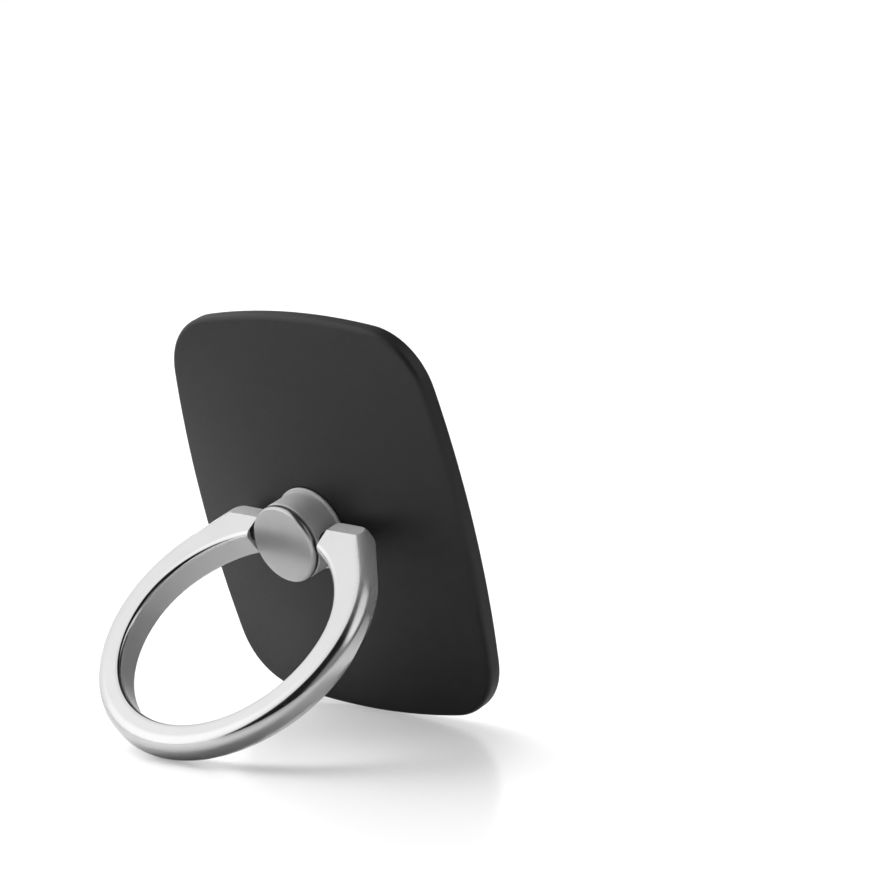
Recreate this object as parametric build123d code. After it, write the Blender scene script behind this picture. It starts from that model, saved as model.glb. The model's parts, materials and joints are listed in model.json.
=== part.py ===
"""Phone ring holder: a crowned plate with a swivelling hub and a folding finger ring, stood on its ring.

Each piece is drawn with the plate lying on its back: X across the plate, Y up the plate, and Z out of
the front, with Z = 0 at the front edge of the rim. The whole holder is then stood on the ground.
"""
import os
from math import acos, asin, atan2, cos, degrees, hypot, pi, radians, sin, sqrt, tan

from build123d import *

# Back plate: a rectangle with bowed sides, rounded corners and a crowned front
PLATE_WIDTH = 35.0
PLATE_HEIGHT = 41.0
SIDE_BOW = 2.05
END_BOW = 2.1
CORNER_RADIUS = 6.8
RIM_THICKNESS = 1.6
FRONT_CHAMFER = 0.4
BACK_CHAMFER = 0.2
CROWN_HEIGHT = 2.3
SEAT_DEPTH = 0.12
SEAT_MARGIN = 0.15

# Adhesive pad on the back
PAD_THICKNESS = 0.8
PAD_INSET = 1.0

# Swivel hub and its cap
HUB_RADIUS = 3.9
HUB_LIFT = 0.08
HUB_EDGE = 0.12
COLLAR_WIDTH = 0.25
COLLAR_THICKNESS = 0.25
CAP_THICKNESS = 0.6
CAP_FILLET = 0.4
CAP_GROOVE = 0.22
NECK_RADIUS = 3.2
STUB_RADIUS = 1.5
STUB_LENGTH = 0.4
SWIVEL_ANGLE = -2.5

# Swivel bearing, in a pocket behind the crown
SPIGOT_RADIUS = 2.25
SPIGOT_TAIL = 0.35
WEB_THICKNESS = 1.3
POCKET_MARGIN = 1.0
THRUST_RADIUS = 4.6
THRUST_THICKNESS = 0.3
SPRING_RADIUS = 4.4
SPRING_THICKNESS = 0.3
SPRING_RISE = 0.35
CLIP_RADIUS = 3.6
CLIP_THICKNESS = 0.5
CLIP_GROOVE_RADIUS = 1.8
CLIP_MOUTH = 2.4

# Finger ring: a round band with bevelled lugs and a hole that flattens towards the hinge
HOLE_RADIUS = 11.35
RING_BAND = 3.05
RING_DEPTH = 3.1
HOLE_DROP = 0.45
HOLE_FLATTENING = 0.75
SIDE_ARC_SHIFT = 1.85
LUG_GAP = 0.65
LUG_TOP = 1.9
LUG_FLARE = 0.95
BEVEL_HEIGHT = 1.55
BEVEL_DEPTH = 0.75
SHOULDER_FILLET = 1.5
OUTER_ROUNDING = 1.2
INNER_CHAMFER = 0.35
RING_ANGLE = 63.4

# Hinge pin and its friction washers
PIN_RADIUS = 0.7
PIN_RISE = 2.05
PIN_INSET = 3.37
PIN_COVER = 0.3
WASHER_RADIUS = 1.1

# Clearances between pieces that move on each other
RUNNING_CLEARANCE = 0.05
FACE_CLEARANCE = 0.03

# Radii of the plate's bowed sides and ends
side_radius = ((PLATE_HEIGHT / 2) ** 2 + SIDE_BOW ** 2) / (2 * SIDE_BOW)
end_radius = ((PLATE_WIDTH / 2) ** 2 + END_BOW ** 2) / (2 * END_BOW)

# Heights of the hub and the cap
seat_height = CROWN_HEIGHT - SEAT_DEPTH
hub_base = seat_height + HUB_LIFT
collar_radius = HUB_RADIUS + COLLAR_WIDTH
pin_height = hub_base + PIN_RISE
stub_floor = pin_height + PIN_RADIUS + RUNNING_CLEARANCE + PIN_COVER
cap_base = stub_floor + STUB_LENGTH
hub_shoulder = cap_base - CAP_GROOVE

# Heights of the bearing pieces, from the plate's web back to the clip
bearing_bore = SPIGOT_RADIUS + RUNNING_CLEARANCE
web_back = seat_height - WEB_THICKNESS
thrust_back = web_back - FACE_CLEARANCE - THRUST_THICKNESS
spring_back = thrust_back - FACE_CLEARANCE - SPRING_THICKNESS - SPRING_RISE
clip_back = spring_back - FACE_CLEARANCE - CLIP_THICKNESS

# Places on the ring, with the pin at the origin and the finger hole below it
ring_outer_radius = HOLE_RADIUS + RING_BAND
ring_drop = ring_outer_radius - PIN_INSET
lug_side = HUB_RADIUS + LUG_GAP
shoulder_reach = ring_outer_radius + LUG_FLARE
lug_shoulder = sqrt(shoulder_reach ** 2 - (ring_drop + LUG_TOP) ** 2)
flank_bearing = atan2(lug_shoulder, ring_drop + LUG_TOP) + acos(ring_outer_radius / shoulder_reach)
flank_x = ring_outer_radius * sin(flank_bearing)
flank_y = ring_outer_radius * cos(flank_bearing) - ring_drop

# The two smaller arcs and the wide arc that flatten the finger hole towards the hinge
side_arc_radius = HOLE_RADIUS - SIDE_ARC_SHIFT
side_arc_spare = SIDE_ARC_SHIFT - HOLE_FLATTENING
wide_arc_drop = (SIDE_ARC_SHIFT ** 2 - side_arc_spare ** 2) / (2 * side_arc_spare)
wide_arc_radius = HOLE_RADIUS - HOLE_FLATTENING + wide_arc_drop
side_arc_sweep = degrees(atan2(wide_arc_drop, SIDE_ARC_SHIFT))

# Flats that round the ring's outer edges: one at 45 degrees, then one on each of its borders
middle_flat = OUTER_ROUNDING * (1 - tan(pi / 8))
border_flat = OUTER_ROUNDING * (tan(pi / 8) - tan(pi / 16))

# Flat seats for the washers on the sides of the hub
washer_seat_radius = WASHER_RADIUS + RUNNING_CLEARANCE
washer_seat = sqrt(HUB_RADIUS ** 2 - washer_seat_radius ** 2)


def bowed_outline(inset=0.0):
    """The plate's outline, drawn in by an inset."""
    outline = Pos(PLATE_WIDTH / 2 - side_radius, 0) * Circle(side_radius - inset)
    outline &= Pos(side_radius - PLATE_WIDTH / 2, 0) * Circle(side_radius - inset)
    outline &= Pos(0, PLATE_HEIGHT / 2 - end_radius) * Circle(end_radius - inset)
    outline &= Pos(0, end_radius - PLATE_HEIGHT / 2) * Circle(end_radius - inset)
    return fillet(outline.vertices(), CORNER_RADIUS - inset)


def turned(*profile):
    """A solid of revolution about Z, from corners given as radius and height."""
    return revolve(Plane.XZ * make_face(Polyline(*profile, close=True)), Axis.Z)


def crossing(radius, start, end):
    """A round bar along X, through the origin's Y and Z."""
    return extrude(Plane.YZ.offset(start) * Circle(radius), end - start)


def crowned_blank():
    """Flat-backed slab whose front is one smooth crown over the bowed outline."""
    slab = extrude(bowed_outline(), -RIM_THICKNESS)
    front = slab.faces().sort_by(Axis.Z)[-1]
    half_ways = (-0.5, 0, 0.5)
    crown_points = []
    for across in half_ways:
        for up in half_ways:
            height = CROWN_HEIGHT * (1 - across ** 2) * (1 - up ** 2)
            crown_points.append((across * PLATE_WIDTH / 2, up * PLATE_HEIGHT / 2, height))
    crown = Face.make_surface(front.outer_wire().edges(), surface_points=crown_points)
    return Part() + Solid(Shell([crown] + slab.faces().sort_by(Axis.Z)[:-1]))


def base_plate():
    """Crowned plate with a seat for the hub, a bearing bore and a rear pocket."""
    plate = crowned_blank()
    rim = plate.edges().filter_by_position(Axis.Z, -FRONT_CHAMFER / 2, FRONT_CHAMFER / 2)
    plate = chamfer(rim, FRONT_CHAMFER)
    plate = chamfer(plate.faces().sort_by(Axis.Z)[0].outer_wire().edges(), BACK_CHAMFER)
    plate -= Pos(0, 0, seat_height) * extrude(Circle(collar_radius + SEAT_MARGIN), CROWN_HEIGHT)
    pocket = extrude(Circle(THRUST_RADIUS + POCKET_MARGIN), RIM_THICKNESS + web_back)
    bore = extrude(Circle(bearing_bore), RIM_THICKNESS + CROWN_HEIGHT)
    return plate - Pos(0, 0, -RIM_THICKNESS) * (pocket + bore)


def adhesive_pad():
    """Foam pad, inset from the plate's edge."""
    return Pos(0, 0, -RIM_THICKNESS) * extrude(bowed_outline(PAD_INSET), -PAD_THICKNESS)


def swivel_hub():
    """Turned post with a collar, a neck for the cap, a grooved spigot, a pin bore and washer seats."""
    tail = clip_back - SPIGOT_TAIL
    hub = turned(
        (0, tail),
        (SPIGOT_RADIUS, tail),
        (SPIGOT_RADIUS, clip_back - FACE_CLEARANCE),
        (CLIP_GROOVE_RADIUS, clip_back - FACE_CLEARANCE),
        (CLIP_GROOVE_RADIUS, spring_back),
        (SPIGOT_RADIUS, spring_back),
        (SPIGOT_RADIUS, hub_base),
        (collar_radius, hub_base),
        (collar_radius, hub_base + COLLAR_THICKNESS),
        (HUB_RADIUS, hub_base + COLLAR_THICKNESS),
        (HUB_RADIUS, hub_shoulder - HUB_EDGE),
        (HUB_RADIUS - HUB_EDGE, hub_shoulder),
        (NECK_RADIUS, hub_shoulder),
        (NECK_RADIUS, cap_base),
        (STUB_RADIUS, cap_base),
        (STUB_RADIUS, stub_floor),
        (0, stub_floor),
    )
    seat = crossing(washer_seat_radius, washer_seat, 2 * HUB_RADIUS)
    cuts = crossing(PIN_RADIUS + RUNNING_CLEARANCE, -HUB_RADIUS, HUB_RADIUS) + seat + mirror(seat, Plane.YZ)
    return hub - Pos(0, 0, pin_height) * cuts


def hub_cap():
    """Thin disc, flush with the post, with a softened rim and a locating stub."""
    disc = extrude(Circle(HUB_RADIUS), CAP_THICKNESS)
    disc = fillet(disc.edges().group_by(Axis.Z)[-1], CAP_FILLET)
    return Pos(0, 0, cap_base) * (disc + extrude(Circle(STUB_RADIUS), -STUB_LENGTH))


def thrust_washer():
    """Flat washer behind the plate's web."""
    return Pos(0, 0, thrust_back) * extrude(Circle(THRUST_RADIUS) - Circle(bearing_bore), THRUST_THICKNESS)


def disc_spring():
    """Coned spring washer that pulls the hub down on its seat."""
    outer_back = spring_back + SPRING_RISE
    return turned(
        (bearing_bore, spring_back),
        (SPRING_RADIUS, outer_back),
        (SPRING_RADIUS, outer_back + SPRING_THICKNESS),
        (bearing_bore, spring_back + SPRING_THICKNESS),
    )


def retaining_clip():
    """Open clip that snaps into the spigot's groove."""
    outline = Circle(CLIP_RADIUS) - Circle(CLIP_GROOVE_RADIUS + RUNNING_CLEARANCE)
    outline -= Rectangle(CLIP_MOUTH, 2 * CLIP_RADIUS, align=(Align.CENTER, Align.MAX))
    return Pos(0, 0, clip_back) * extrude(outline, CLIP_THICKNESS)


def finger_hole():
    """The finger hole face on: a circle below its middle, flattened by three tangent arcs above it."""
    arcs = [
        CenterArc((0, 0), HOLE_RADIUS, 180, 180),
        CenterArc((SIDE_ARC_SHIFT, 0), side_arc_radius, 0, side_arc_sweep),
        CenterArc((0, -wide_arc_drop), wide_arc_radius, side_arc_sweep, 180 - 2 * side_arc_sweep),
        CenterArc((-SIDE_ARC_SHIFT, 0), side_arc_radius, 180 - side_arc_sweep, side_arc_sweep),
    ]
    return make_face(arcs)


def ring_outline():
    """The ring face on, open at the top between its two lugs."""
    centre = Pos(0, -ring_drop)
    lug_corners = [(0, -ring_drop), (flank_x, flank_y), (lug_shoulder, LUG_TOP), (0, LUG_TOP)]
    lug = make_face(Polyline(*lug_corners, close=True))
    above_lugs = Rectangle(4 * ring_outer_radius, 2 * ring_outer_radius, align=(Align.CENTER, Align.MIN))
    mouth = Rectangle(2 * lug_side, 2 * ring_outer_radius, align=(Align.CENTER, Align.MIN))
    outline = centre * Circle(ring_outer_radius) + lug + mirror(lug, Plane.YZ)
    outline -= Pos(0, LUG_TOP) * above_lugs
    outline -= Pos(0, -HOLE_DROP) * centre * finger_hole()
    outline -= centre * mouth
    top = outline.vertices().group_by(Axis.Y)[-1].sort_by(Axis.X)
    return fillet([top[0], top[-1]], SHOULDER_FILLET)


def borders_hole(edge):
    """Whether an edge of the ring runs round the finger hole."""
    middle = edge @ 0.5
    off_centre = hypot(middle.X, middle.Y + ring_drop)
    return edge.geom_type != GeomType.LINE and off_centre < (HOLE_RADIUS + ring_outer_radius) / 2


def borders_lug_side(edge):
    """Whether an edge lies on the flat side of a lug, next to the hub."""
    return abs(abs((edge @ 0.5).X) - lug_side) < FACE_CLEARANCE


def outer_edges(ring):
    """The edges round the outside of the ring that run along its front and back."""
    edges = ring.edges().filter_by(Plane.XY)
    return [edge for edge in edges if not (borders_hole(edge) or borders_lug_side(edge))]


def lug_bevel():
    """Wedge that slopes the front of both lugs down to their tops."""
    low, high = LUG_TOP - BEVEL_HEIGHT, LUG_TOP + BEVEL_HEIGHT
    corners = [(low, RING_DEPTH / 2), (high, RING_DEPTH / 2 - 2 * BEVEL_DEPTH), (high, RING_DEPTH / 2)]
    return extrude(Plane.YZ * make_face(Polyline(*corners, close=True)), ring_outer_radius, both=True)


def ring_blank():
    """The ring before its pin hole is bored, with its edges rounded or broken and its lugs bevelled."""
    ring = extrude(ring_outline(), RING_DEPTH / 2, both=True)
    ring = chamfer(outer_edges(ring), middle_flat)
    ring = chamfer(outer_edges(ring), border_flat)
    ring = chamfer([edge for edge in ring.edges().filter_by(Plane.XY) if borders_hole(edge)], INNER_CHAMFER)
    return ring - lug_bevel() - mirror(lug_bevel(), Plane.XY)


def finger_ring():
    """One-piece ring with a pin hole through each lug."""
    return ring_blank() - crossing(PIN_RADIUS, -ring_outer_radius, ring_outer_radius)


def hinge_pin():
    """Plain pin, pressed through the lugs and ground flush with their outer flanks."""
    bar = crossing(PIN_RADIUS, -ring_outer_radius, ring_outer_radius)
    return (bar & ring_blank()) + crossing(PIN_RADIUS, -lug_side, lug_side)


def hinge_washer():
    """Friction washer between the hub's right seat and the right lug."""
    washer = crossing(WASHER_RADIUS, washer_seat, lug_side - FACE_CLEARANCE)
    return washer - crossing(PIN_RADIUS + RUNNING_CLEARANCE, 0, 2 * lug_side)


def forward_lean():
    """Lean of the plate, in degrees, that sets its lower rim and the far side of the ring on one level."""
    rim_y = -PLATE_HEIGHT / 2
    rim_z = -FRONT_CHAMFER
    raised = radians(RING_ANGLE)
    along = ring_drop + ring_outer_radius - OUTER_ROUNDING
    across = RING_DEPTH / 2 - OUTER_ROUNDING
    far_y = -along * cos(raised) - across * sin(raised)
    far_z = pin_height + along * sin(raised) - across * cos(raised)
    span = hypot(far_y - rim_y, far_z - rim_z)
    return degrees(atan2(far_y - rim_y, far_z - rim_z) - asin(OUTER_ROUNDING / span))


def standing_pieces():
    """Every piece by name, with the plate stood up and the lowest edges on the ground."""
    swivelled = Rot(Z=SWIVEL_ANGLE)
    pin_axis = swivelled * Pos(0, 0, pin_height)
    raised_ring = pin_axis * Rot(X=-RING_ANGLE)
    right_washer = hinge_washer()
    pieces = {
        "base_plate": base_plate(),
        "adhesive_pad": adhesive_pad(),
        "swivel_hub": swivelled * swivel_hub(),
        "hub_cap": swivelled * hub_cap(),
        "thrust_washer": swivelled * thrust_washer(),
        "disc_spring": swivelled * disc_spring(),
        "retaining_clip": swivelled * retaining_clip(),
        "hinge_washer_right": pin_axis * right_washer,
        "hinge_washer_left": pin_axis * mirror(right_washer, Plane.YZ),
        "finger_ring": raised_ring * finger_ring(),
        "hinge_pin": raised_ring * hinge_pin(),
    }
    upright = Rot(X=90 + forward_lean())
    stood = {name: upright * piece for name, piece in pieces.items()}
    box = Compound(list(stood.values())).bounding_box()
    ground = Pos(-box.center().X, -box.center().Y, -box.min.Z)
    return {name: ground * piece for name, piece in stood.items()}


os.makedirs("parts", exist_ok=True)
for name, piece in standing_pieces().items():
    export_step(piece, os.path.join("parts", name + ".step"))
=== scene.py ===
"""Phone ring holder: finished pieces, materials and a plain studio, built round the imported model."""
import json
from math import acos, atan2, cos, hypot, pi, radians, sin, sqrt, tan

import bmesh
import bpy
from bpy.props import FloatProperty, FloatVectorProperty, PointerProperty
from bpy.types import Operator, Panel, PropertyGroup
from mathutils import Matrix, Vector
from mathutils.bvhtree import BVHTree


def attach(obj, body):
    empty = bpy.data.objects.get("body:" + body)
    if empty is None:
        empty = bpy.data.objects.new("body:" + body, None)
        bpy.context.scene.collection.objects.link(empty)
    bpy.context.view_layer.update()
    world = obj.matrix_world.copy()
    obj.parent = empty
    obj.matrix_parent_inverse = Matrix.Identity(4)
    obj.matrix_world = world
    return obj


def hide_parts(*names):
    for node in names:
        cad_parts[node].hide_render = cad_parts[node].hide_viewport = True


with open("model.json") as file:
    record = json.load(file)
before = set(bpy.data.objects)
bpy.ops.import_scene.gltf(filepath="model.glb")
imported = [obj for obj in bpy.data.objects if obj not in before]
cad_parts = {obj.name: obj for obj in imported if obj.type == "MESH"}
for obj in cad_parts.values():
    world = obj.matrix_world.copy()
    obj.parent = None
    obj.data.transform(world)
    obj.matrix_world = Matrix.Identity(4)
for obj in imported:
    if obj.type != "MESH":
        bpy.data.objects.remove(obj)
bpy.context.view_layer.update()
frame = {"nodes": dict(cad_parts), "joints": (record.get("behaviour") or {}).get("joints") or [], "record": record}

bl_info = {
    "name": "Phone ring holder",
    "version": (1, 0, 0),
    "blender": (4, 5, 0),
    "location": "View3D > Sidebar > Ring holder",
    "description": "Builds a phone ring holder with its finishes and a plain studio",
    "category": "Object",
}

MM = 0.001

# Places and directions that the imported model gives
JOINTS = {joint["name"]: joint for joint in frame["joints"]}
MOUNTS = {mount["name"]: mount for mount in frame["record"]["mounts"]}
PIN_CENTRE = Vector(JOINTS["ring_flip"]["pos_m"])
PIN_AXIS = Vector(JOINTS["ring_flip"]["axis"])
PLATE_OUT = Vector(JOINTS["swivel"]["axis"]).normalized()
PLATE_UP = PLATE_OUT.cross(PIN_AXIS)
BACK_CENTRE = Vector(MOUNTS["adhesive_back"]["pos_m"])
RING_ANGLE = radians(JOINTS["ring_flip"]["range_deg"][1])
ACROSS = Vector((1.0, 0.0, 0.0))
ALONG_PIN = Matrix.Rotation(pi / 2, 4, "Y")

# Studio light: a base, and lobes with a direction, the half angles of edge and core, and a strength
SOFT_BASE = 0.07
SOFT_LIGHT = (
    ((-0.8, 0.1, 0.6), 48.0, 8.0, 9.5),
)
GLOSS_BASE = 0.004
GLOSS_LIGHT = (
    ((-0.75, -0.5, 0.43), 62.0, 54.0, 1.12),
    ((-0.6, -0.7, 0.35), 45.0, 10.0, 0.4),
    ((-0.68, 0.72, 0.05), 24.0, 12.0, 1.0),
    ((0.62, 0.45, 0.64), 34.0, 16.0, 1.05),
    ((0.98, 0.05, 0.1), 40.0, 15.0, 0.3),
)

# Fineness of the round stretches
TURNED_SEGMENTS = 128
ROUNDING_SEGMENTS = 6
FILLET_STEPS = 10
ARC_STEP = radians(2.0)
FLAT_EDGE = radians(2.0)
FILLET_START = radians(8.0)
SIDE_STEPS = 18
CORNER_STEPS = 14
CROWN_RINGS = 26
PIN_END_RINGS = 4
PIN_END_CORE = 0.1
FLOOR_SEGMENTS = 64
SHARP_ANGLE = radians(18.0)
LARGEST_SMOOTH_FACE = 8
MERGE_DISTANCE = 1e-7
PAD_SOFT_PARTS = 6

# Reach of the camera, in distances to its aim and in radii of the floor
CLIP_NEAR, CLIP_FAR = 0.05, 3.0

# Detail of the finishes: sizes and heights of marks, and how far colour and roughness vary with them
GRAIN_DETAIL, MOTTLE_DETAIL, MARK_DETAIL = 3.0, 2.0, 4.0
GRAINS_PER_MOTTLE = 40
COAT_SHADE, COAT_ROUGHNESS_SPREAD = 0.12, 0.08
SATIN_SHADE, SATIN_ROUGHNESS_SPREAD = 0.04, 0.05
SATIN_GRAIN, SATIN_MOTTLE = 0.12 * MM, 3.0 * MM
SATIN_GRAIN_HEIGHT, SATIN_MARK_HEIGHT = 0.0004 * MM, 0.0006 * MM
FINE_MARK, RING_MARK, CAP_MARK = 0.05 * MM, 0.06 * MM, 0.07 * MM

# Where masks by direction start and are full, as cosines to the direction away from a hole or to the front
WALL_FACING = (-0.85, -0.98)
OUTSIDE_FACING = (-0.2, 0.0)
SIDE_FACING = (0.99, 0.92)


def length(name, millimetres, description):
    """A size in millimetres as a property in metres."""
    return FloatProperty(
        name=name, description=description, default=millimetres * MM, min=0.0, precision=5, unit="LENGTH"
    )


def colour(name, value, description):
    """A colour as a property."""
    return FloatVectorProperty(
        name=name, description=description, default=value, size=3, min=0.0, max=1.0, subtype="COLOR"
    )


def share(name, value, description):
    """A factor between nothing and all as a property."""
    return FloatProperty(
        name=name, description=description, default=value, min=0.0, max=1.0, subtype="FACTOR"
    )


def angle(name, degrees, description):
    """An angle in degrees as a property in radians."""
    return FloatProperty(name=name, description=description, default=radians(degrees), subtype="ANGLE")


class PlateSettings(PropertyGroup):
    """Sizes and finish of the back plate."""

    width: length("Width", 35.0, "Across the bowed sides")
    height: length("Height", 41.0, "Between the bowed ends")
    side_bow: length("Side bow", 2.05, "How far each side swells")
    end_bow: length("End bow", 2.1, "How far each end swells")
    corner_radius: length("Corner radius", 6.8, "Rounding of the outline's corners")
    rim_thickness: length("Rim thickness", 1.6, "Thickness at the edge")
    front_fillet: length("Front fillet", 0.55, "Rounding of the front edge")
    back_fillet: length("Back fillet", 0.25, "Rounding of the back edge")
    crown_height: length("Crown height", 2.3, "Rise of the front from its rim to its middle")
    seat_depth: length("Seat depth", 0.12, "How far the hub's seat is sunk in the crown")
    seat_margin: length("Seat margin", 0.15, "Width of the seat that shows round the hub")
    colour: colour("Coat", (0.009, 0.009, 0.0095), "Colour of the matte coat")
    roughness: share("Roughness", 0.5, "How matte the coat is")
    gloss: share("Gloss", 0.42, "How much the coat mirrors")
    grain: length("Grain", 0.2, "Size of the coat's grain")
    grain_height: length("Grain height", 0.01, "Height of the coat's grain")


class PadSettings(PropertyGroup):
    """Sizes and finish of the adhesive pad."""

    thickness: length("Thickness", 0.8, "Thickness of the foam")
    inset: length("Inset", 1.0, "How far the pad stops short of the plate's edge")
    colour: colour("Foam", (0.02, 0.02, 0.021), "Colour of the foam")
    roughness: share("Roughness", 0.85, "How matte the foam is")
    grain: length("Grain", 0.25, "Size of the foam's cells")
    grain_height: length("Grain height", 0.03, "Height of the foam's cells")


class BearingSettings(PropertyGroup):
    """Sizes and finish of the swivel bearing behind the crown."""

    spigot_radius: length("Spigot radius", 2.25, "Radius of the hub's spigot")
    spigot_tail: length("Spigot tail", 0.35, "Length of spigot behind the clip")
    web_thickness: length("Web thickness", 1.3, "Plate left between the seat and the pocket")
    pocket_radius: length("Pocket radius", 5.6, "Radius of the pocket in the plate's back")
    groove_radius: length("Groove radius", 1.8, "Radius at the bottom of the clip's groove")
    stack: length("Stack", 1.04, "Thickness of the washer and the spring behind the web")
    clip_thickness: length("Clip thickness", 0.5, "Thickness of the clip")
    clearance: length("Clearance", 0.05, "Running clearance round the spigot and the pin")
    steel: colour("Steel", (0.42, 0.42, 0.43), "Colour of the spring and the clip")
    steel_roughness: share("Steel roughness", 0.4, "How satin the steel is")


class HubSettings(PropertyGroup):
    """Sizes and finish of the hub and its cap."""

    radius: length("Radius", 3.9, "Radius of the post and the cap")
    lift: length("Lift", 0.08, "Gap between the post and its seat")
    edge: length("Edge", 0.12, "Bevel of the post's front edge")
    collar_width: length("Collar width", 0.25, "How far the collar stands out at the foot of the post")
    collar_thickness: length("Collar thickness", 0.25, "Thickness of the collar")
    cap_thickness: length("Cap thickness", 0.6, "Thickness of the cap")
    cap_fillet: length("Cap fillet", 0.4, "Rounding of the cap's rim")
    cap_groove: length("Cap groove", 0.2, "Width of the groove behind the cap")
    neck_radius: length("Neck radius", 3.2, "Radius at the bottom of the groove")
    stub_radius: length("Stub radius", 1.5, "Radius of the cap's locating stub")
    stub_length: length("Stub length", 0.4, "Length of the cap's locating stub")
    post_colour: colour("Post", (0.66, 0.66, 0.665), "Colour of the post")
    post_metallic: share("Post metallic", 0.3, "How metallic the post's satin finish is")
    post_roughness: share("Post roughness", 0.32, "How satin the post is")
    cap_colour: colour("Cap", (0.45, 0.45, 0.455), "Colour of the cap")
    cap_roughness: share("Cap roughness", 0.25, "How satin the cap is")


class HingeSettings(PropertyGroup):
    """Sizes of the hinge pin and its washers, and the finish of the washers."""

    pin_radius: length("Pin radius", 0.7, "Radius of the pin")
    pin_rise: length("Pin rise", 2.05, "Height of the pin above the bottom of the post")
    pin_cover: length("Pin cover", 0.3, "Metal between the pin's bore and the cap's stub")
    washer_radius: length("Washer radius", 1.1, "Radius of the friction washers")
    face_clearance: length("Face clearance", 0.03, "Gap between a washer and a lug")
    hole_ease: length("Hole ease", 0.01, "Play between the pin and the lugs' holes")
    plastic: colour("Plastic", (0.02, 0.02, 0.021), "Colour of the washers")
    plastic_roughness: share("Plastic roughness", 0.55, "How matte the washers are")
    grain: length("Grain", 0.1, "Size of the washers' grain")
    grain_height: length("Grain height", 0.002, "Height of the washers' grain")


class RingSettings(PropertyGroup):
    """Sizes and finish of the finger ring."""

    hole_radius: length("Hole radius", 11.35, "Radius of the finger hole below its middle")
    band: length("Band", 3.05, "Width of the band at the sides of the hole")
    depth: length("Depth", 3.1, "Depth of the band")
    hole_drop: length("Hole drop", 0.45, "How far the hole's middle is below that of the outer circle")
    hole_flattening: length("Hole flattening", 0.75, "How much the hole is lower on the hinge's side")
    side_arc_shift: length("Side arc shift", 1.85, "How far the hole's smaller arcs are off its middle")
    pin_inset: length("Pin inset", 3.37, "How far the pin is inside the ring's outer circle")
    lug_gap: length("Lug gap", 0.65, "Gap between the post and each lug")
    lug_top: length("Lug top", 1.9, "Height of the lugs above the pin")
    lug_flare: length("Lug flare", 0.95, "How far the lugs' shoulders stand out of the outer circle")
    bevel_height: length("Bevel height", 1.55, "Height of the sloping faces at the lugs' tops")
    bevel_depth: length("Bevel depth", 0.75, "How far those faces slope in")
    shoulder_fillet: length("Shoulder fillet", 1.5, "Rounding of the lugs' shoulders")
    outer_fillet: length("Outer fillet", 1.2, "Rounding of the outer edges")
    inner_fillet: length("Inner fillet", 0.6, "Rounding of the hole's edges")
    colour: colour("Metal", (0.64, 0.64, 0.645), "Colour of the plated metal")
    roughness: share("Roughness", 0.13, "How satin the polish is")
    brushed_metallic: share("Brushed metallic", 0.2, "How metallic the brushed lugs and hole are")
    brushed_roughness: share("Brushed roughness", 0.35, "How rough the brushed lugs and hole are")


class StageSettings(PropertyGroup):
    """The floor, the light and the camera."""

    floor_colour: colour("Floor", (0.58, 0.58, 0.58), "Colour of the floor")
    floor_radius: length("Floor radius", 20000.0, "Radius of the floor")
    floor_roughness: share("Floor roughness", 0.22, "How matte the floor is")
    floor_gloss: share("Floor gloss", 0.25, "How much the floor mirrors")
    floor_glow: share("Floor glow", 0.33, "Brightness that the camera sees in the lit floor itself")
    fill: FloatProperty(
        name="Fill", description="Brightness of the studio behind the floor", default=1.0, min=0.0
    )
    azimuth: angle("Azimuth", 42.944, "Bearing of the camera, from the ring's side towards the right")
    elevation: angle("Elevation", 7.418, "Height of the camera above the floor, as an angle")
    roll: angle("Roll", -1.073, "Tilt of the camera about its own line of sight")
    distance: length("Distance", 322.9, "From the camera to the point it looks at")
    aim: FloatVectorProperty(
        name="Aim", description="Point that the camera looks at", size=3, subtype="XYZ", unit="LENGTH",
        default=(10.69 * MM, 11.12 * MM, 27.80 * MM),
    )
    lens: FloatProperty(name="Lens", description="Focal length in millimetres", default=143.5, min=1.0)


class HolderSettings(PropertyGroup):
    """Everything that a user may change."""

    plate: PointerProperty(type=PlateSettings)
    pad: PointerProperty(type=PadSettings)
    bearing: PointerProperty(type=BearingSettings)
    hub: PointerProperty(type=HubSettings)
    hinge: PointerProperty(type=HingeSettings)
    ring: PointerProperty(type=RingSettings)
    stage: PointerProperty(type=StageSettings)


# Frames of the pieces

def axes_at(origin, right, up, out):
    """The matrix that carries a piece's own axes to its place."""
    return Matrix.Translation(origin) @ Matrix((right, up, out)).transposed().to_4x4()


def plate_frame(holder):
    """Plate's own frame: its origin is on the hub's axis, level with the front edge of the rim."""
    rim = BACK_CENTRE + PLATE_OUT * (holder.pad.thickness + holder.plate.rim_thickness)
    return axes_at(rim, ACROSS, PLATE_OUT.cross(ACROSS), PLATE_OUT)


def hub_frame(holder):
    """Hub's own frame: the plate's, turned with the hub until it is in line with the pin."""
    return axes_at(plate_frame(holder).to_translation(), PIN_AXIS, PLATE_UP, PLATE_OUT)


def pin_frame():
    """Frame at the middle of the pin, in line with the hub."""
    return axes_at(PIN_CENTRE, PIN_AXIS, PLATE_UP, PLATE_OUT)


def ring_frame():
    """Ring's own frame: its origin is the middle of the pin, and the finger hole is below it."""
    return pin_frame() @ Matrix.Rotation(-RING_ANGLE, 4, "X")


# Sizes that follow from the settings

def seat_height(holder):
    return holder.plate.crown_height - holder.plate.seat_depth


def hub_base(holder):
    return seat_height(holder) + holder.hub.lift


def cap_base(holder):
    hinge = holder.hinge
    pin_top = hub_base(holder) + hinge.pin_rise + hinge.pin_radius + holder.bearing.clearance
    return pin_top + hinge.pin_cover + holder.hub.stub_length


def collar_radius(hub):
    return hub.radius + hub.collar_width


def ring_outer_radius(ring):
    return ring.hole_radius + ring.band


def ring_drop(ring):
    return ring_outer_radius(ring) - ring.pin_inset


def lug_side(holder):
    return holder.hub.radius + holder.ring.lug_gap


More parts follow.
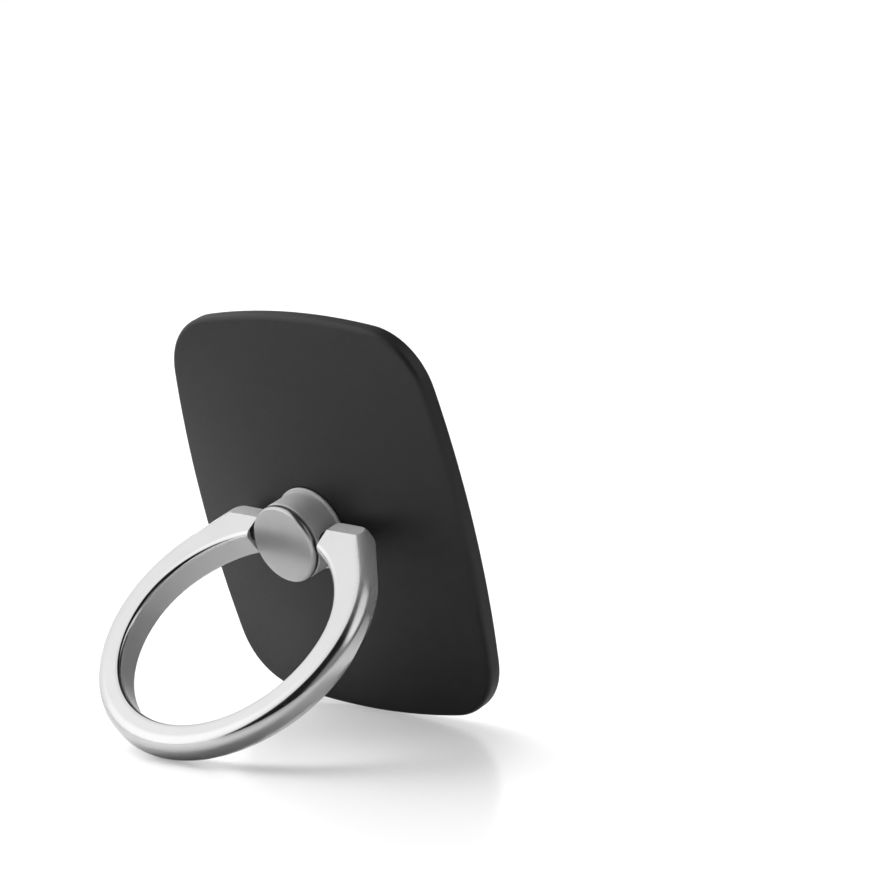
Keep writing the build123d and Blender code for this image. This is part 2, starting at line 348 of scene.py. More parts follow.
def washer_seat(holder):
    seat_radius = holder.hinge.washer_radius + holder.bearing.clearance
    return sqrt(holder.hub.radius ** 2 - seat_radius ** 2)


# Mesh building

def spread(start, end, count):
    """Evenly spaced values from start to end, both included."""
    return [start + (end - start) * step / count for step in range(count + 1)]


def skinned(name, rings, ends):
    """A mesh of quads between rings of points: ends are capped, or joined to each other."""
    bm = bmesh.new()
    rows = [[bm.verts.new(point) for point in ring] for ring in rings]
    pairs = list(zip(rows, rows[1:]))
    if ends == "joined":
        pairs.append((rows[-1], rows[0]))
    for low, high in pairs:
        for index in range(len(low)):
            after = (index + 1) % len(low)
            bm.faces.new((low[index], low[after], high[after], high[index]))
    if ends == "capped":
        bm.faces.new(rows[0])
        bm.faces.new(rows[-1])
    mesh = bpy.data.meshes.new(name)
    bm.to_mesh(mesh)
    bm.free()
    return mesh


def finish_mesh(mesh, place):
    """Sets a mesh in its place, turns its faces outwards, and shades flats flat and rounds smooth."""
    bm = bmesh.new()
    bm.from_mesh(mesh)
    bmesh.ops.remove_doubles(bm, verts=bm.verts, dist=MERGE_DISTANCE)
    bmesh.ops.recalc_face_normals(bm, faces=bm.faces)
    bm.transform(place)
    for face in bm.faces:
        face.smooth = len(face.verts) <= LARGEST_SMOOTH_FACE
    for edge in bm.edges:
        edge.smooth = edge.calc_face_angle(0.0) < SHARP_ANGLE
    bm.to_mesh(mesh)
    bm.free()
    return mesh


def evaluated_mesh(obj):
    """The plain mesh that an object's modifiers give, with the object itself removed."""
    graph = bpy.context.evaluated_depsgraph_get()
    mesh = bpy.data.meshes.new_from_object(obj.evaluated_get(graph))
    source = obj.data
    bpy.data.objects.remove(obj)
    bpy.data.meshes.remove(source)
    return mesh


def scratch_object(name, mesh):
    """A working object, linked so that its modifiers can be evaluated."""
    obj = bpy.data.objects.new(name, mesh)
    bpy.context.scene.collection.objects.link(obj)
    return obj


def bar_mesh(radius, start, end):
    """A round bar along the pin's axis."""
    bm = bmesh.new()
    middle = Matrix.Translation(((start + end) / 2, 0.0, 0.0)) @ ALONG_PIN
    bmesh.ops.create_cone(
        bm, cap_ends=True, segments=TURNED_SEGMENTS // 2, radius1=radius, radius2=radius,
        depth=end - start, matrix=middle,
    )
    mesh = bpy.data.meshes.new("Bar")
    bm.to_mesh(mesh)
    bm.free()
    return mesh


def cut_away(mesh, tools):
    """A mesh with other closed meshes cut out of it."""
    obj = scratch_object("Cutting", mesh)
    cutters = [scratch_object("Cutter", finish_mesh(tool, Matrix.Identity(4))) for tool in tools]
    for cutter in cutters:
        cut = obj.modifiers.new("Cut", "BOOLEAN")
        cut.operation = "DIFFERENCE"
        cut.solver = "EXACT"
        cut.object = cutter
    result = evaluated_mesh(obj)
    for cutter in cutters:
        tool = cutter.data
        bpy.data.objects.remove(cutter)
        bpy.data.meshes.remove(tool)
    return result


def add_piece(name, mesh, material, body, slot, *nodes):
    """A finished piece that stands for CAD nodes and moves with their body."""
    mesh.name = name
    mesh.materials.clear()
    mesh.materials.append(material)
    obj = scratch_object(name, mesh)
    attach(obj, body)
    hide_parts(*nodes)
    return obj


# Node trees

def new_node(tree, kind, **settings):
    """A node with its own settings."""
    node = tree.nodes.new(kind)
    for name, value in settings.items():
        setattr(node, name, value)
    return node


def math_node(tree, operation, value=None):
    """A math node, with its second value where that is fixed."""
    node = new_node(tree, "ShaderNodeMath", operation=operation)
    if value is not None:
        node.inputs[1].default_value = value
    return node


def vector_node(tree, operation):
    return new_node(tree, "ShaderNodeVectorMath", operation=operation)


def wire(tree, *joins):
    """Links, each given as a node, its output, the next node and its input."""
    for source, output, target, entry in joins:
        tree.links.new(source.outputs[output], target.inputs[entry])


def tree_input(tree, name, kind, default=None):
    socket = tree.interface.new_socket(name=name, in_out="INPUT", socket_type="NodeSocket" + kind)
    if default is not None:
        socket.default_value = default


def new_geometry_tree(name):
    tree = bpy.data.node_groups.new(name, "GeometryNodeTree")
    tree_input(tree, "Geometry", "Geometry")
    tree.interface.new_socket(name="Geometry", in_out="OUTPUT", socket_type="NodeSocketGeometry")
    return tree


def end_tree(tree, given, last, output):
    """Ends a tree: makes its instances real and gives them the material."""
    realize = new_node(tree, "GeometryNodeRealizeInstances")
    set_material = new_node(tree, "GeometryNodeSetMaterial")
    result = new_node(tree, "NodeGroupOutput")
    wire(
        tree,
        (last, output, realize, "Geometry"),
        (realize, "Geometry", set_material, "Geometry"),
        (given, "Material", set_material, "Material"),
        (set_material, "Geometry", result, "Geometry"),
    )
    return tree


def turned_tree():
    """Rounds the corners of a profile by its own rounding values and turns it about the axis."""
    name = "Turned piece"
    if name in bpy.data.node_groups:
        return bpy.data.node_groups[name]
    tree = new_geometry_tree(name)
    tree_input(tree, "Segments", "Int", TURNED_SEGMENTS)
    tree_input(tree, "Guide radius", "Float", 1.0)
    tree_input(tree, "Material", "Material")
    given = new_node(tree, "NodeGroupInput")
    to_curve = new_node(tree, "GeometryNodeMeshToCurve")
    rounding = new_node(tree, "GeometryNodeInputNamedAttribute", data_type="FLOAT")
    rounding.inputs["Name"].default_value = "rounding"
    fillet = new_node(tree, "GeometryNodeFilletCurve", mode="POLY")
    fillet.inputs["Count"].default_value = ROUNDING_SEGMENTS
    fillet.inputs["Limit Radius"].default_value = True
    negative = math_node(tree, "MULTIPLY", -1.0)
    inwards = new_node(tree, "ShaderNodeCombineXYZ")
    shift = new_node(tree, "GeometryNodeTransform")
    guide = new_node(tree, "GeometryNodeCurvePrimitiveCircle")
    sweep = new_node(tree, "GeometryNodeCurveToMesh")
    merge = new_node(tree, "GeometryNodeMergeByDistance")
    merge.inputs["Distance"].default_value = MERGE_DISTANCE
    wire(
        tree,
        (given, "Geometry", to_curve, "Mesh"),
        (to_curve, "Curve", fillet, "Curve"),
        (rounding, "Attribute", fillet, "Radius"),
        (given, "Guide radius", negative, 0),
        (negative, "Value", inwards, "X"),
        (fillet, "Curve", shift, "Geometry"),
        (inwards, "Vector", shift, "Translation"),
        (given, "Segments", guide, "Resolution"),
        (given, "Guide radius", guide, "Radius"),
        (guide, "Curve", sweep, "Curve"),
        (shift, "Geometry", sweep, "Profile Curve"),
        (sweep, "Mesh", merge, "Geometry"),
    )
    return end_tree(tree, given, merge, "Geometry")


def pair_tree():
    """Turns a profile and sets two copies of the piece, one each side of the middle."""
    tree = new_geometry_tree("Turned pair")
    tree_input(tree, "Guide radius", "Float", 1.0)
    tree_input(tree, "Offset", "Float", 0.0)
    tree_input(tree, "Material", "Material")
    given = new_node(tree, "NodeGroupInput")
    turned = new_node(tree, "GeometryNodeGroup", node_tree=turned_tree())
    line = new_node(tree, "GeometryNodeMeshLine", mode="OFFSET")
    line.inputs["Count"].default_value = 2
    for entry, times in (("Start Location", -1.0), ("Offset", 2.0)):
        distance = math_node(tree, "MULTIPLY", times)
        vector = new_node(tree, "ShaderNodeCombineXYZ")
        wire(
            tree,
            (given, "Offset", distance, 0),
            (distance, "Value", vector, "Z"),
            (vector, "Vector", line, entry),
        )
    instances = new_node(tree, "GeometryNodeInstanceOnPoints")
    wire(
        tree,
        (given, "Geometry", turned, "Geometry"),
        (given, "Guide radius", turned, "Guide radius"),
        (line, "Mesh", instances, "Points"),
        (turned, "Geometry", instances, "Instance"),
    )
    return end_tree(tree, given, instances, "Instances")


def turned_mesh(profile, tree, values, closed=False):
    """A mesh turned about Z from corners given as radius, height and rounding."""
    mesh = bpy.data.meshes.new("Profile")
    count = len(profile)
    edges = [(index, index + 1) for index in range(count - 1)]
    if closed:
        edges.append((count - 1, 0))
    mesh.from_pydata([(radius, -height, 0.0) for radius, height, rounding in profile], edges, [])
    rounding = mesh.attributes.new("rounding", "FLOAT", "POINT")
    rounding.data.foreach_set("value", [corner[2] for corner in profile])
    obj = scratch_object("Turning", mesh)
    modifier = obj.modifiers.new("Turn", "NODES")
    modifier.node_group = tree
    given = dict(values)
    given["Guide radius"] = max(radius for radius, height, rounding in profile)
    for item in tree.interface.items_tree:
        if item.in_out == "INPUT" and item.name in given:
            modifier[item.identifier] = given[item.name]
    return evaluated_mesh(obj)


# Shapes

def bowed_outline(plate, inset=0.0):
    """Points and outward directions round the plate's outline, drawn in by an inset."""
    half_width, half_height = plate.width / 2, plate.height / 2
    side_radius = (half_height ** 2 + plate.side_bow ** 2) / (2 * plate.side_bow)
    end_radius = (half_width ** 2 + plate.end_bow ** 2) / (2 * plate.end_bow)
    side_centre, end_centre = half_width - side_radius, half_height - end_radius
    side_reach, end_reach = side_radius - plate.corner_radius, end_radius - plate.corner_radius
    apart = hypot(side_centre, end_centre)
    along = (apart ** 2 + side_reach ** 2 - end_reach ** 2) / (2 * apart)
    across = sqrt(side_reach ** 2 - along ** 2)
    towards = Vector((-side_centre, end_centre)) / apart
    corner = Vector((side_centre, 0.0)) + along * towards + across * Vector((-towards.y, towards.x))
    if corner.x < 0:
        corner = Vector((side_centre, 0.0)) + along * towards - across * Vector((-towards.y, towards.x))
    first = atan2(corner.y, corner.x - side_centre)
    second = atan2(corner.y - end_centre, corner.x)
    arcs = (
        (Vector((side_centre, 0.0)), side_radius, 0.0, first, SIDE_STEPS),
        (corner, plate.corner_radius, first, second, CORNER_STEPS),
        (Vector((0.0, end_centre)), end_radius, second, pi / 2, SIDE_STEPS),
    )
    quarter = []
    for centre, radius, start, end, count in arcs:
        for bearing in spread(start, end, count)[:-1]:
            out = Vector((cos(bearing), sin(bearing)))
            quarter.append((centre + out * (radius - inset), out))
    top = Vector((0.0, half_height - inset)), Vector((0.0, 1.0))
    half = quarter + [top] + [mirrored_x(item) for item in reversed(quarter)]
    return half[:-1] + [turned_round(item) for item in half[:-1]]


def mirrored_x(item):
    return tuple(Vector((-vector.x, vector.y)) for vector in item)


def turned_round(item):
    return tuple(-vector for vector in item)


def crown_rise(plate, point):
    """Height of the plate's crown over a point of its front."""
    half_width = plate.width / 2 - plate.side_bow * (point.y / (plate.height / 2)) ** 2
    half_height = plate.height / 2 - plate.end_bow * (point.x / (plate.width / 2)) ** 2
    return plate.crown_height * (1 - (point.x / half_width) ** 2) * (1 - (point.y / half_height) ** 2)


def level(points, height):
    return [Vector((point.x, point.y, height)) for point in points]


def circle_towards(points, radius):
    """A circle with one point in the direction of each point given."""
    return [point.normalized() * radius for point in points]


def plate_rings(holder):
    """Rings of points over the plate: back, rim, crown, seat, bore and pocket."""
    plate, bearing = holder.plate, holder.bearing
    outline = bowed_outline(plate)
    seat = seat_height(holder)
    back = -plate.rim_thickness
    directions = [point for point, out in outline]
    rings = []
    for bend in spread(-pi / 2, 0.0, FILLET_STEPS // 2):
        inset = plate.back_fillet * (1 - cos(bend))
        height = back + plate.back_fillet * (1 + sin(bend))
        rings.append(level([point - out * inset for point, out in outline], height))
    fillet = plate.front_fillet
    slopes = []
    for point, out in outline:
        slopes.append(atan2(crown_rise(plate, point - out * fillet) - crown_rise(plate, point), fillet))
    for step in spread(0.0, 1.0, FILLET_STEPS):
        ring = []
        for (point, out), slope in zip(outline, slopes):
            bend = step * (pi / 2 - slope)
            top = point - out * fillet * (1 - sin(slope))
            centre_height = crown_rise(plate, top) - fillet * cos(slope)
            place = point - out * fillet * (1 - cos(bend))
            ring.append(Vector((place.x, place.y, centre_height + fillet * sin(bend))))
        rings.append(ring)
    rim = [Vector((point.x, point.y)) for point in rings[-1]]
    seat_radius = collar_radius(holder.hub) + plate.seat_margin
    seat_edge = circle_towards(directions, seat_radius)
    for step in spread(0.0, 1.0, CROWN_RINGS)[1:]:
        places = [start.lerp(end, step) for start, end in zip(rim, seat_edge)]
        rings.append([Vector((place.x, place.y, crown_rise(plate, place))) for place in places])
    bore = circle_towards(directions, bearing.spigot_radius + bearing.clearance)
    pocket = circle_towards(directions, bearing.pocket_radius)
    rings.append(level(seat_edge, seat))
    rings.append(level(bore, seat))
    rings.append(level(bore, seat - bearing.web_thickness))
    rings.append(level(pocket, seat - bearing.web_thickness))
    rings.append(level(pocket, back))
    return rings


def pad_rings(holder):
    """Rings of points over the pad, with slightly softened edges."""
    plate, pad = holder.plate, holder.pad
    outline = bowed_outline(plate, pad.inset)
    top = -plate.rim_thickness
    softness = pad.thickness / PAD_SOFT_PARTS
    rings = []
    for height, inset in (
        (top, 0.0),
        (top - pad.thickness + softness, 0.0),
        (top - pad.thickness + softness / 3, softness / 3),
        (top - pad.thickness, softness),
    ):
        rings.append(level([point - out * inset for point, out in outline], height))
    return rings


def arc_points(centre, radius, start, end, fillet):
    """Points, outward directions and edge fillets along an arc: a negative radius faces inwards."""
    count = max(2, round(abs(end - start) / ARC_STEP))
    result = []
    for bearing in spread(start, end, count):
        out = Vector((cos(bearing), sin(bearing)))
        result.append((centre + out * abs(radius), out if radius > 0 else -out, fillet))
    return result


def half_ring_outline(holder):
    """The right half of the ring's outline, from the bottom of its outer circle to that of its hole."""
    ring = holder.ring
    outer, drop, side = ring_outer_radius(ring), ring_drop(ring), lug_side(holder)
    edge, rim = ring.outer_fillet, ring.inner_fillet
    reach = outer + ring.lug_flare
    shoulder = Vector((sqrt(reach ** 2 - (drop + ring.lug_top) ** 2), ring.lug_top))
    flank = atan2(drop + ring.lug_top, shoulder.x) - acos(outer / reach)
    points = arc_points(Vector((0.0, -drop)), outer, -pi / 2, flank, edge)
    back_off = ring.shoulder_fillet * tan((pi / 2 - flank) / 2)
    along_flank, out_flank = Vector((-sin(flank), cos(flank))), Vector((cos(flank), sin(flank)))
    shoulder_centre = shoulder - along_flank * back_off - out_flank * ring.shoulder_fillet
    points += arc_points(shoulder_centre, ring.shoulder_fillet, flank, pi / 2, edge)
    middle = Vector((0.0, -drop - ring.hole_drop))
    spare = ring.side_arc_shift - ring.hole_flattening
    wide_drop = (ring.side_arc_shift ** 2 - spare ** 2) / (2 * spare)
    wide_radius = ring.hole_radius - ring.hole_flattening + wide_drop
    sweep = atan2(wide_drop, ring.side_arc_shift)
    wide_centre = middle - Vector((0.0, wide_drop))
    heel_bearing = acos(side / wide_radius)
    heel = wide_centre + Vector((side, wide_radius * sin(heel_bearing)))
    up, left = Vector((0.0, 1.0)), Vector((-1.0, 0.0))
    points.append((Vector((side, ring.lug_top)), up, edge))
    points.append((Vector((side, ring.lug_top - edge)), left, 0.0))
    points.append((heel + up * rim, left, 0.0))
    points.append((heel, -up, rim))
    side_centre = middle + Vector((ring.side_arc_shift, 0.0))
    points += arc_points(wide_centre, -wide_radius, heel_bearing, sweep, rim)[1:]
    points += arc_points(side_centre, ring.side_arc_shift - ring.hole_radius, sweep, 0.0, rim)[1:]
    points += arc_points(middle, -ring.hole_radius, 0.0, -pi / 2, rim)[1:]
    return points


def ring_outline(holder):
    """The whole outline: points, outward directions and edge fillets."""
    half = half_ring_outline(holder)
    mirror = [(Vector((-p.x, p.y)), Vector((-o.x, o.y)), f) for p, o, f in reversed(half)]
    return half + mirror[1:-1]


def ring_rings(holder):
    """Rings of points over the finger ring, from its back face to its front face."""
    outline = ring_outline(holder)
    half_depth = holder.ring.depth / 2
    bends = [0.0, FLAT_EDGE] + spread(FILLET_START, pi / 2, FILLET_STEPS)
    rings = []
    for side, order in ((-1, bends), (1, list(reversed(bends)))):
        for bend in order:
            ring = []
            for point, out, fillet in outline:
                place = point - out * fillet * (1 - sin(bend))
                height = side * (half_depth - fillet * (1 - cos(bend)))
                ring.append(Vector((place.x, place.y, height)))
            rings.append(ring)
    return rings


def lug_wedge(holder, side):
    """Wedge that slopes the front or the back of both lugs down to their tops."""
    ring = holder.ring
    reach, half_depth = ring_outer_radius(ring), ring.depth / 2
    low, high = ring.lug_top - 2 * ring.bevel_height, ring.lug_top + ring.bevel_height
    rise = ring.bevel_depth
    corners = ((low, half_depth + rise), (high, half_depth - 2 * rise), (high, half_depth + rise))
    ends = [[Vector((x, y, side * z)) for y, z in corners] for x in (-reach, reach)]
    return skinned("Wedge", ends, "capped")


def ring_blank(holder):
    """The ring before its pin hole is bored."""
    whole = finish_mesh(skinned("Ring", ring_rings(holder), "capped"), Matrix.Identity(4))
    return finish_mesh(cut_away(whole, [lug_wedge(holder, 1), lug_wedge(holder, -1)]), Matrix.Identity(4))


def pin_rings(holder):
    """Rings of points over a pin whose ends are flush with the lugs' flanks."""
    blank = ring_blank(holder)
    bm = bmesh.new()
    bm.from_mesh(blank)
    surface = BVHTree.FromBMesh(bm)
    bm.free()
    bpy.data.meshes.remove(blank)
    reach = 2 * ring_outer_radius(holder.ring)
    parts = spread(PIN_END_CORE, 1.0, PIN_END_RINGS)
    rings = []
    for side, order in ((-1, parts), (1, list(reversed(parts)))):
        for part in order:
            radius = part * holder.hinge.pin_radius
            ring = []
            for bearing in spread(0.0, 2 * pi, TURNED_SEGMENTS // 2)[:-1]:
                start = Vector((side * reach, radius * cos(bearing), radius * sin(bearing)))
                ring.append(surface.ray_cast(start, -side * ACROSS)[0])
            rings.append(ring)
    return rings


def hub_profile(holder):
    """Corners of the hub's turned profile, from its tail to its front."""
    hub, bearing = holder.hub, holder.bearing
    base = hub_base(holder)
    shoulder = cap_base(holder) - hub.cap_groove
    spring_back = seat_height(holder) - bearing.web_thickness - bearing.stack
    clip_back = spring_back - holder.hinge.face_clearance - bearing.clip_thickness
    groove_back = clip_back - holder.hinge.face_clearance
    tail = clip_back - bearing.spigot_tail
    stub_floor = cap_base(holder) - hub.stub_length
    return (
        (0.0, tail, 0.0),
        (bearing.spigot_radius, tail, hub.edge / 2),
        (bearing.spigot_radius, groove_back, 0.0),
        (bearing.groove_radius, groove_back, 0.0),
        (bearing.groove_radius, spring_back, 0.0),
        (bearing.spigot_radius, spring_back, 0.0),
        (bearing.spigot_radius, base, 0.0),
        (collar_radius(hub), base, hub.edge / 2),
        (collar_radius(hub), base + hub.collar_thickness, hub.edge / 2),
        (hub.radius, base + hub.collar_thickness, 0.0),
        (hub.radius, shoulder, hub.edge),
        (hub.neck_radius, shoulder, 0.0),
        (hub.neck_radius, cap_base(holder), 0.0),
        (hub.stub_radius, cap_base(holder), 0.0),
        (hub.stub_radius, stub_floor, 0.0),
        (0.0, stub_floor, 0.0),
    )


def cap_profile(holder):
    """Corners of the cap's turned profile, from its stub to its face."""
    hub = holder.hub
    base = cap_base(holder)
    play = holder.hinge.hole_ease
    return (
        (0.0, base - hub.stub_length + play, 0.0),
        (hub.stub_radius - play, base - hub.stub_length + play, 0.0),
        (hub.stub_radius - play, base + play, 0.0),
        (hub.radius, base + play, hub.edge / 2),
        (hub.radius, base + hub.cap_thickness, hub.cap_fillet),
        (0.0, base + hub.cap_thickness, 0.0),
    )


def washer_profile(holder):
    """Corners of a friction washer, centred on its own thickness."""
    hinge = holder.hinge
    half = (lug_side(holder) - hinge.face_clearance - washer_seat(holder)) / 2
    bore = hinge.pin_radius + holder.bearing.clearance
    softness = hinge.face_clearance
    return (
        (bore, -half, 0.0),
        (hinge.washer_radius, -half, softness),
        (hinge.washer_radius, half, softness),
        (bore, half, 0.0),
    )


# Materials

def shader_group(name, vectors, values, outputs):
    """A new shader group with its vector and value inputs and its value outputs."""
    group = bpy.data.node_groups.new(name, "ShaderNodeTree")
    for label in vectors:
        tree_input(group, label, "Vector")
    for label in values:
        tree_input(group, label, "Float")
    for label in outputs:
        group.interface.new_socket(name=label, in_out="OUTPUT", socket_type="NodeSocketFloat")
    return group, new_node(group, "NodeGroupInput"), new_node(group, "NodeGroupOutput")


def noise_nodes(group, detail):
    """A noise, and the node that makes its scale from the size of its grain."""
    scale = math_node(group, "DIVIDE")
    scale.inputs[0].default_value = 1.0
    noise = new_node(group, "ShaderNodeTexNoise")
    noise.inputs["Detail"].default_value = detail
    return scale, noise


def mask_node(tree, start, full, **settings):
    """A mask that is empty at one value and full at another."""
    node = new_node(tree, "ShaderNodeMapRange", **settings)
    node.inputs["From Min"].default_value = start
    node.inputs["From Max"].default_value = full
    return node


def fine_grain():
    """Group: the fine grain of a coat or a satin polish, and a broad soft mottle."""
    name = "Fine grain"
    if name in bpy.data.node_groups:
        return bpy.data.node_groups[name]
    group, given, result = shader_group(name, (), ("Grain size", "Mottle size"), ("Grain", "Mottle"))
    place = new_node(group, "ShaderNodeTexCoord")
    for output, detail in (("Grain", GRAIN_DETAIL), ("Mottle", MOTTLE_DETAIL)):
        scale, noise = noise_nodes(group, detail)
        wire(
            group,
            (given, output + " size", scale, 1),
            (place, "Object", noise, "Vector"),
            (scale, "Value", noise, "Scale"),
            (noise, "Fac", result, output),
        )
    return group


def turned_marks():
    """Group: the faint rings that turning and polishing leave round an axis."""
    name = "Turned marks"
    if name in bpy.data.node_groups:
        return bpy.data.node_groups[name]
    group, given, result = shader_group(name, ("Centre", "Tilt"), ("Mark size",), ("Marks",))
    place = new_node(group, "ShaderNodeTexCoord")
    local = new_node(group, "ShaderNodeMapping", vector_type="TEXTURE")
    split = new_node(group, "ShaderNodeSeparateXYZ")
    total, root = math_node(group, "ADD"), math_node(group, "SQRT")
    join = new_node(group, "ShaderNodeCombineXYZ")
    scale, noise = noise_nodes(group, MARK_DETAIL)
    for entry, axis in enumerate("XY"):
        square = math_node(group, "MULTIPLY")
        wire(group, (split, axis, square, 0), (split, axis, square, 1), (square, "Value", total, entry))
    wire(
        group,
        (place, "Object", local, "Vector"),
        (given, "Centre", local, "Location"),
        (given, "Tilt", local, "Rotation"),
        (local, "Vector", split, "Vector"),
        (total, "Value", root, 0),
        (root, "Value", join, "X"),
        (split, "Z", join, "Y"),
        (given, "Mark size", scale, 1),
        (join, "Vector", noise, "Vector"),
        (scale, "Value", noise, "Scale"),
        (noise, "Fac", result, "Marks"),
    )
    return group


def hole_sides():
    """Group: a mask of the surfaces that face the axis of a hole, and one of those that face away."""
    group, given, result = shader_group("Hole sides", ("Centre", "Axis"), (), ("Wall", "Outside"))
    place = new_node(group, "ShaderNodeTexCoord")
    offset, along = vector_node(group, "SUBTRACT"), vector_node(group, "PROJECT")
    outward, direction = vector_node(group, "SUBTRACT"), vector_node(group, "NORMALIZE")
    facing = vector_node(group, "DOT_PRODUCT")
    wire(
        group,
        (place, "Object", offset, 0),
        (given, "Centre", offset, 1),
        (offset, "Vector", along, 0),
        (given, "Axis", along, 1),
        (offset, "Vector", outward, 0),
        (along, "Vector", outward, 1),
        (outward, "Vector", direction, 0),
        (direction, "Vector", facing, 0),
        (place, "Normal", facing, 1),
    )
    for output, limits in (("Wall", WALL_FACING), ("Outside", OUTSIDE_FACING)):
        mask = mask_node(group, *limits)
        wire(group, (facing, "Value", mask, "Value"), (mask, "Result", result, output))
    return group


def lug_sides():
    """Group: a mask of the lugs' sides and bevels, which fades along the band and spares the front."""
    group, given, result = shader_group(
        "Lug sides", ("Centre", "Up", "Front"), ("Start", "Full"), ("Side",)
    )
    place = new_node(group, "ShaderNodeTexCoord")
    offset = vector_node(group, "SUBTRACT")
    height, facing = vector_node(group, "DOT_PRODUCT"), vector_node(group, "DOT_PRODUCT")
    lug = new_node(group, "ShaderNodeMapRange", interpolation_type="SMOOTHSTEP")
    side = mask_node(group, *SIDE_FACING)
    both = math_node(group, "MULTIPLY")
    wire(
        group,
        (place, "Object", offset, 0),
        (given, "Centre", offset, 1),
        (offset, "Vector", height, 0),
        (given, "Up", height, 1),
        (height, "Value", lug, "Value"),
        (given, "Start", lug, "From Min"),
        (given, "Full", lug, "From Max"),
        (place, "Normal", facing, 0),
        (given, "Front", facing, 1),
        (facing, "Value", side, "Value"),
        (lug, "Result", both, 0),
        (side, "Result", both, 1),
        (both, "Value", result, "Side"),
    )
    return group


def new_material(name):
    """An empty material with its Principled shader."""
    material = bpy.data.materials.new(name)
    material.use_nodes = True
    return material, material.node_tree, material.node_tree.nodes["Principled BSDF"]


def placed_group(tree, group, values):
    """The outputs of a group that is placed in a material with its own values."""
    node = new_node(tree, "ShaderNodeGroup", node_tree=group)
    for name, value in values.items():
        node.inputs[name].default_value = value
    return node.outputs


def ranged(tree, source, low, high):
    """A map of a value between nothing and all to a range."""
    node = new_node(tree, "ShaderNodeMapRange")
    node.inputs["To Min"].default_value = low
    node.inputs["To Max"].default_value = high
    tree.links.new(source, node.inputs["Value"])
    return node.outputs["Result"]


def combined(tree, operation, first, second):
    """Two values put together by a math node."""
    node = math_node(tree, operation)
    tree.links.new(first, node.inputs[0])
    tree.links.new(second, node.inputs[1])
    return node.outputs["Value"]


def shaded(tree, source, base, spread_by):
    """A colour that varies a little with a mask."""
    node = new_node(tree, "ShaderNodeMix", data_type="RGBA")
    node.inputs["A"].default_value = (*[channel * (1 - spread_by) for channel in base], 1.0)
    node.inputs["B"].default_value = (*[min(1.0, channel * (1 + spread_by)) for channel in base], 1.0)
    tree.links.new(source, node.inputs["Factor"])
    return node.outputs["Result"]


def bumped(tree, source, height, normal=None):
    """A bump from a height mask, in metres."""
    node = new_node(tree, "ShaderNodeBump")
    node.inputs["Distance"].default_value = height
    tree.links.new(source, node.inputs["Height"])
    if normal is not None:
        tree.links.new(normal, node.inputs["Normal"])
    return node.outputs["Normal"]


def coated_material(name, base, roughness, grain_size, grain_height):
    """A matte coat, foam or plastic with a fine grain."""
    material, tree, shader = new_material(name)
    sizes = {"Grain size": grain_size, "Mottle size": GRAINS_PER_MOTTLE * grain_size}
    grain = placed_group(tree, fine_grain(), sizes)
    low, high = roughness - COAT_ROUGHNESS_SPREAD, roughness + COAT_ROUGHNESS_SPREAD
    tree.links.new(shaded(tree, grain["Mottle"], base, COAT_SHADE), shader.inputs["Base Color"])
    tree.links.new(ranged(tree, grain["Grain"], low, high), shader.inputs["Roughness"])
    tree.links.new(bumped(tree, grain["Grain"], grain_height), shader.inputs["Normal"])
    return material


def washer_plastic(name, hinge):
    """The plain black plastic of the washers."""
    return coated_material(name, hinge.plastic, hinge.plastic_roughness, hinge.grain, hinge.grain_height)


def satin_metal(name, base, metallic, roughness, place, mark_size):
    """A satin-polished metal with faint turning marks round an axis."""
    material, tree, shader = new_material(name)
    shader.inputs["Metallic"].default_value = metallic
    grain = placed_group(tree, fine_grain(), {"Grain size": SATIN_GRAIN, "Mottle size": SATIN_MOTTLE})
    axis = {"Centre": place.to_translation(), "Tilt": place.to_euler(), "Mark size": mark_size}
    marks = placed_group(tree, turned_marks(), axis)["Marks"]
    low, high = roughness - SATIN_ROUGHNESS_SPREAD, roughness + SATIN_ROUGHNESS_SPREAD
    tree.links.new(shaded(tree, grain["Mottle"], base, SATIN_SHADE), shader.inputs["Base Color"])
    tree.links.new(ranged(tree, marks, low, high), shader.inputs["Roughness"])
    normal = bumped(tree, grain["Grain"], SATIN_GRAIN_HEIGHT)
    tree.links.new(bumped(tree, marks, SATIN_MARK_HEIGHT, normal), shader.inputs["Normal"])
    return material


def ring_metal(name, ring, place, hole):
    """The ring's satin polish, brushed on the lugs' sides and round the wall of the finger hole."""
    material = satin_metal(name, ring.colour, 1.0, ring.roughness, hole, RING_MARK)
    tree = material.node_tree
    shader = tree.nodes["Principled BSDF"]
    axes = place.to_3x3()
    wall = placed_group(tree, hole_sides(), {
        "Centre": hole.to_translation(), "Axis": hole.to_3x3().col[2],
    })
    lug = placed_group(tree, lug_sides(), {
        "Centre": place.to_translation(), "Up": axes.col[1], "Front": axes.col[2],
        "Start": -ring_drop(ring), "Full": 0.0,
    })
    sides = combined(tree, "MULTIPLY", wall["Outside"], lug["Side"])
    brushed = combined(tree, "MAXIMUM", wall["Wall"], sides)
    polish = shader.inputs["Roughness"].links[0].from_socket
    rougher = ranged(tree, brushed, 0.0, ring.brushed_roughness - ring.roughness)
    tree.links.new(ranged(tree, brushed, 1.0, ring.brushed_metallic), shader.inputs["Metallic"])
    tree.links.new(combined(tree, "ADD", polish, rougher), shader.inputs["Roughness"])
    return material


# Operators

class RINGHOLDER_OT_plate(Operator):
    """Build the crowned back plate"""

    bl_idname = "ringholder.plate"
    bl_label = "Back plate"

    def execute(self, context):
        holder = context.scene.ring_holder
        plate = holder.plate
        coat = coated_material(
            "Matte black coat", plate.colour, plate.roughness, plate.grain, plate.grain_height
        )
        shader = coat.node_tree.nodes["Principled BSDF"]
        shader.inputs["Specular IOR Level"].default_value = plate.gloss
        mesh = finish_mesh(skinned("Plate", plate_rings(holder), "joined"), plate_frame(holder))
        add_piece("back_plate", mesh, coat, "plate", "plate_black", "base_plate")
        return {"FINISHED"}


